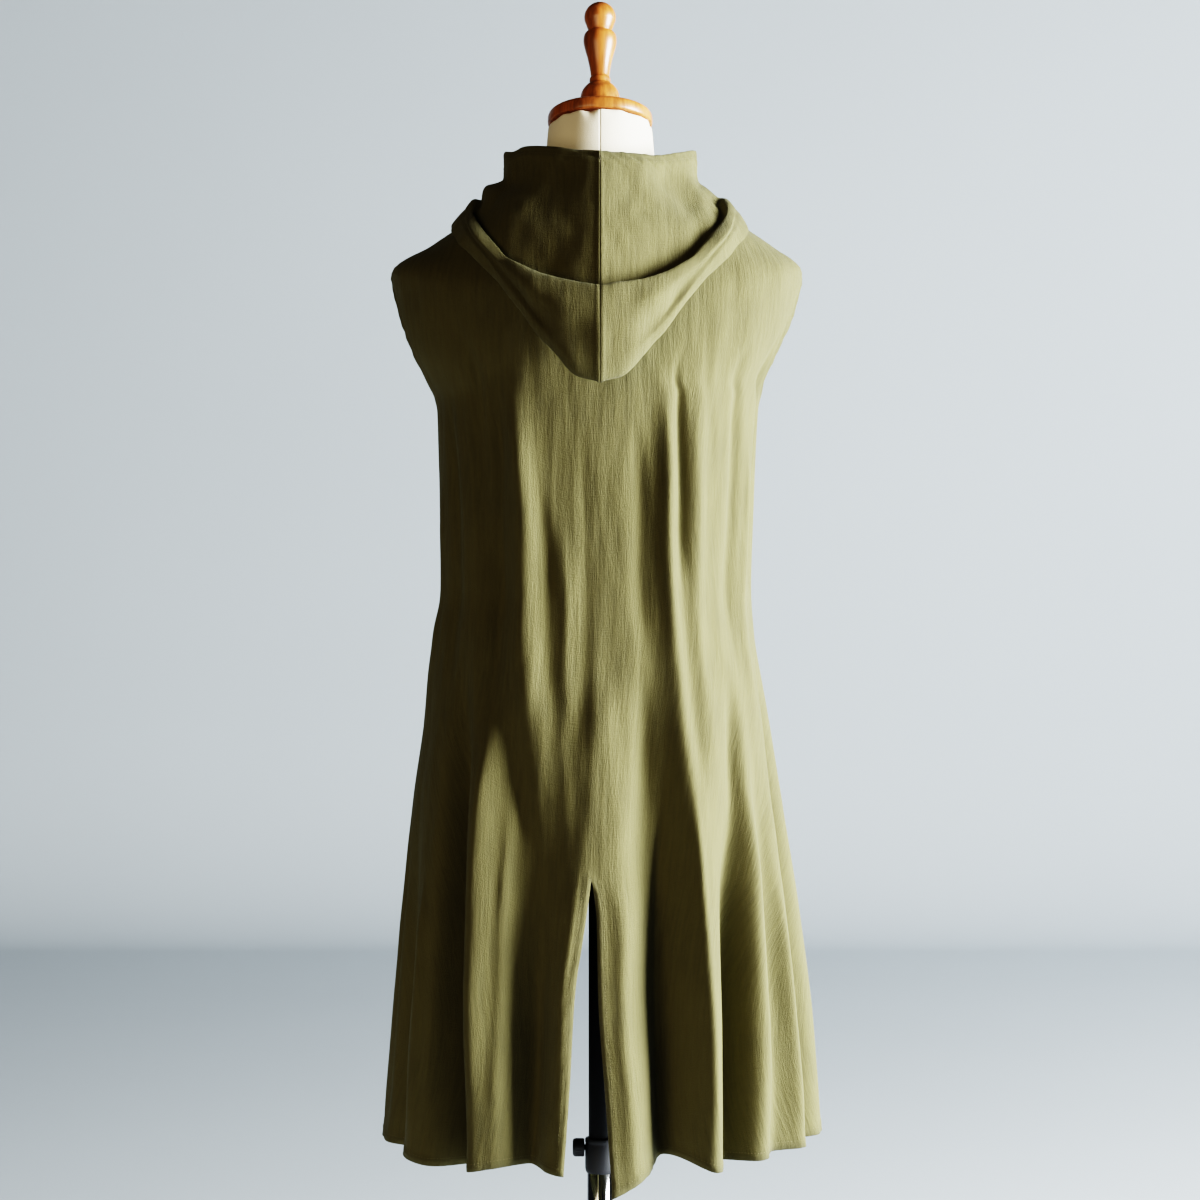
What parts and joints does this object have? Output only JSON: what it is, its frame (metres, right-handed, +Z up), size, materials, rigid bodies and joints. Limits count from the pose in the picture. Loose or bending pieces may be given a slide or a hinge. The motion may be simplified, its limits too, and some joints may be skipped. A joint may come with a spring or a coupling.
{
  "type": "hooded sleeveless medieval surcoat on a limbless dress form with a stand",
  "caption": "Long sleeveless surcoat with a lowered hood, slit skirt and open armholes, hanging on a smooth limbless dress form on a height-adjustable round-based stand",
  "frame": {"origin": "on the floor, at the centre of the round base's flat underside, on the pole's axis", "axes": "+Z up along the pole, -Y the way the garment's back and lowered hood face, +X to the right as seen from behind the garment"},
  "size_m": [0.479, 0.3923, 1.6942],
  "materials": {
    "cloth": "crinkled olive-green gauze, matt",
    "form_cover": "cream jersey stretched over the form",
    "turned_wood": "turned, satin lacquer",
    "black_paint": "black, satin",
    "black_plastic": "moulded, matt",
    "chrome": "polished"
  },
  "bodies": {
    "stand": {"base": "black_paint", "lower_tube": "chrome", "clamp_collar": "black_plastic"},
    "knob": {"clamp_knob": "black_plastic"},
    "pole": {"upper_tube": "black_paint", "pole_socket": "black_paint"},
    "form": {"dress_form": "form_cover", "neck_cap": "turned_wood", "finial": "turned_wood", "back": "cloth", "front": "cloth", "hood_left": "cloth", "hood_right": "cloth"}
  },
  "joints": [
    {"name": "height_slide", "type": "slide", "parent": "stand", "child": "pole", "axis": [0, 0, 1], "range_m": [-0.15, 0.1]},
    {"name": "swivel", "type": "hinge", "parent": "pole", "child": "form", "pos_m": [0, 0, 0.795], "axis": [0, 0, 1], "continuous": true},
    {"name": "clamp_turn", "type": "hinge", "parent": "stand", "child": "knob", "pos_m": [-0.0165, 0, 0.429], "axis": [-1, 0, 0], "range_deg": [0, 180]}
  ]
}
